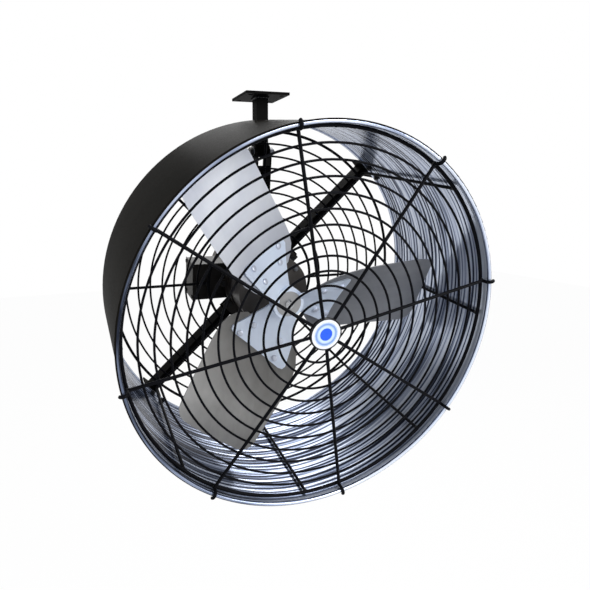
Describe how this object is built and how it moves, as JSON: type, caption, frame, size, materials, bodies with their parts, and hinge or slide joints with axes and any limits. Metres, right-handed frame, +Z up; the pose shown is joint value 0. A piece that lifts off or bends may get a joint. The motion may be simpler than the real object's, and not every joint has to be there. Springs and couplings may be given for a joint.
{
  "type": "air circulator fan",
  "caption": "Ceiling-hung drum air circulator: a three blade propeller between wire guards, turned by a rear motor, on a tilting stem with a bolt-on plate.",
  "frame": {"origin": "middle of the ceiling plate's top face, which is bolted up against a ceiling or beam", "axes": "+Z up; the fan blows towards -Y and, at rest, 8 degrees down; +X to the right as seen from the front"},
  "size_m": [0.65, 0.481, 0.7315],
  "materials": {
    "drum_paint": "satin black paint outside; the inner wall is bare bright metal",
    "guard_black": "satin black coating on wire",
    "bracket_black": "satin black paint",
    "plate_brown": "dark brown-black paint",
    "motor_black": "semi-gloss black paint",
    "zinc_steel": "bright zinc plating",
    "blade_aluminium": "mill-finish sheet, soft reflections",
    "rivet_aluminium": "plain",
    "spider_steel": "zinc plated",
    "shaft_steel": "ground",
    "lamination_steel": "stacked laminations",
    "bearing_steel": "polished",
    "cage_aluminium": "as cast",
    "winding_copper": null,
    "badge_black": "black",
    "badge_white": "white, bare",
    "badge_blue": "blue, bare",
    "gland_black": "black",
    "capacitor_case": "dark grey"
  },
  "bodies": {
    "bracket": {"ceiling_plate": "bracket_black", "bracket_stem": "bracket_black", "pivot_bolt": "zinc_steel", "pivot_nut": "zinc_steel", "pivot_washers": "zinc_steel"},
    "housing": {"drum": "drum_paint", "guard_hoop": "guard_black", "front_guard_rings": "guard_black", "front_guard_radials": "guard_black", "badge_bezel": "badge_black", "badge_disc": "badge_white", "badge_centre": "badge_blue", "badge_back_plate": "guard_black", "badge_screw": "zinc_steel", "rear_guard_rings": "guard_black", "rear_guard_hoops": "guard_black", "rear_guard_radials": "guard_black", "motor_plate": "plate_brown", "strut_arms": "bracket_black", "strut_bolts": "zinc_steel", "strut_nuts": "zinc_steel", "hanger": "bracket_black", "plate_spacers": "zinc_steel", "plate_bolts": "zinc_steel", "plate_nuts": "zinc_steel", "motor_collar": "bracket_black", "collar_bolts": "zinc_steel", "collar_nuts": "zinc_steel", "motor_shell": "motor_black", "front_end_bell": "motor_black", "rear_end_bell": "motor_black", "front_bearing": "bearing_steel", "rear_bearing": "bearing_steel", "stator_core": "lamination_steel", "windings": "winding_copper", "through_bolts": "zinc_steel", "through_nuts": "zinc_steel", "capacitor_box": "plate_brown", "box_cover": "plate_brown", "box_screws": "zinc_steel", "capacitor": "capacitor_case", "cable_gland": "gland_black"},
    "rotor": {"shaft": "shaft_steel", "rotor_core": "lamination_steel", "rotor_end_rings": "cage_aluminium", "hub": "spider_steel", "hub_key": "zinc_steel", "set_screw": "zinc_steel", "spider": "spider_steel", "blade_a": "blade_aluminium", "blade_b": "blade_aluminium", "blade_c": "blade_aluminium", "blade_rivets": "rivet_aluminium"}
  },
  "joints": [
    {"name": "tilt", "type": "hinge", "parent": "bracket", "child": "housing", "pos_m": [0, 0, -0.108], "axis": [1, 0, 0], "range_deg": [-20, 37]},
    {"name": "propeller_spin", "type": "hinge", "parent": "housing", "child": "rotor", "pos_m": [0, -0.12978, -0.3888], "axis": [0, 0.9903, 0.1392], "continuous": true}
  ]
}
